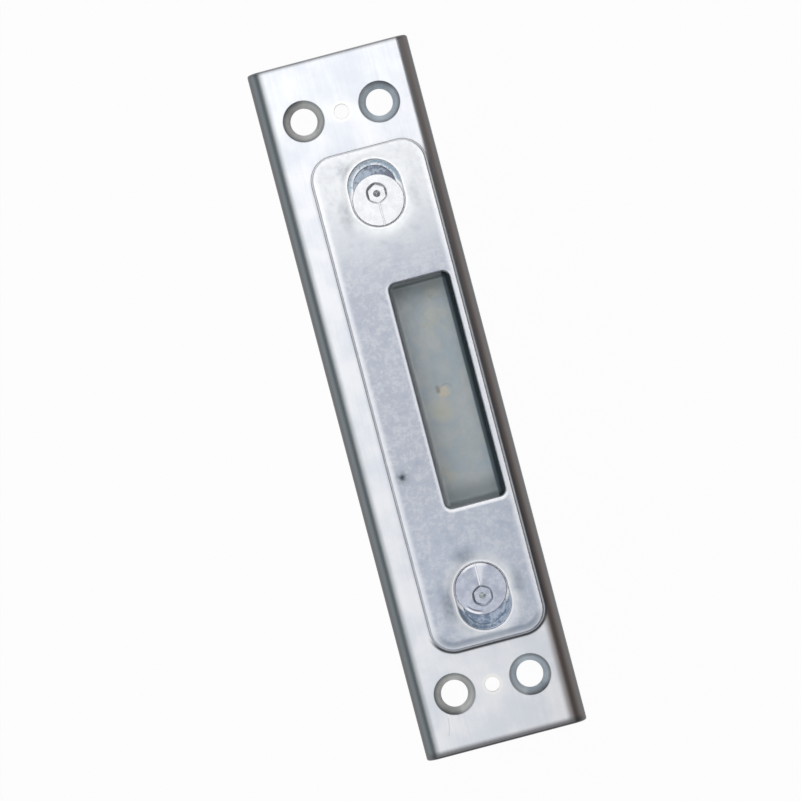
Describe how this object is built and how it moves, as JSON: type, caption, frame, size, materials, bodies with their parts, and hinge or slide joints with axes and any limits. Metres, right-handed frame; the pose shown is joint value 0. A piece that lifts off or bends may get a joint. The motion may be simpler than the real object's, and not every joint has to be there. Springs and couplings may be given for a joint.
{
  "type": "adjustable door strike plate",
  "caption": "Folded steel strike plate with a bolt opening in a keeper plate that eccentric cams shift sideways.",
  "frame": {"origin": "middle of the channel's footprint, on the plane of the flange rims", "axes": "+X across the plate towards the side of the bolt opening, +Y along it, +Z out of the face"},
  "size_m": [0.0332, 0.142, 0.0162],
  "materials": {
    "plated_sheet": "satin zinc plate",
    "cast_keeper": "mottled zinc plate",
    "drawn_box": "dull zinc plate",
    "turned_cam": "fine turned zinc plate"
  },
  "bodies": {
    "base": {"base_channel": "plated_sheet", "bolt_box": "drawn_box"},
    "keeper": {"keeper_plate": "cast_keeper"},
    "upper_cam": {"upper_cam": "turned_cam"},
    "lower_cam": {"lower_cam": "turned_cam"}
  },
  "joints": [
    {"name": "keeper_slide", "type": "slide", "parent": "base", "child": "keeper", "axis": [1, 0, 0], "range_m": [-0.00165, 0.00165]},
    {"name": "upper_cam_turn", "type": "hinge", "parent": "base", "child": "upper_cam", "pos_m": [0.0026, 0.0414, 0.012], "axis": [0, 0, 1], "range_deg": [-90, 90]},
    {"name": "lower_cam_turn", "type": "hinge", "parent": "base", "child": "lower_cam", "pos_m": [0.0026, -0.0414, 0.012], "axis": [0, 0, 1], "range_deg": [-90, 90]}
  ],
  "couplings": [
    {"joint": "upper_cam_turn", "follows": "keeper_slide", "rad_per_m": 951.9},
    {"joint": "lower_cam_turn", "follows": "keeper_slide", "rad_per_m": -951.9}
  ]
}
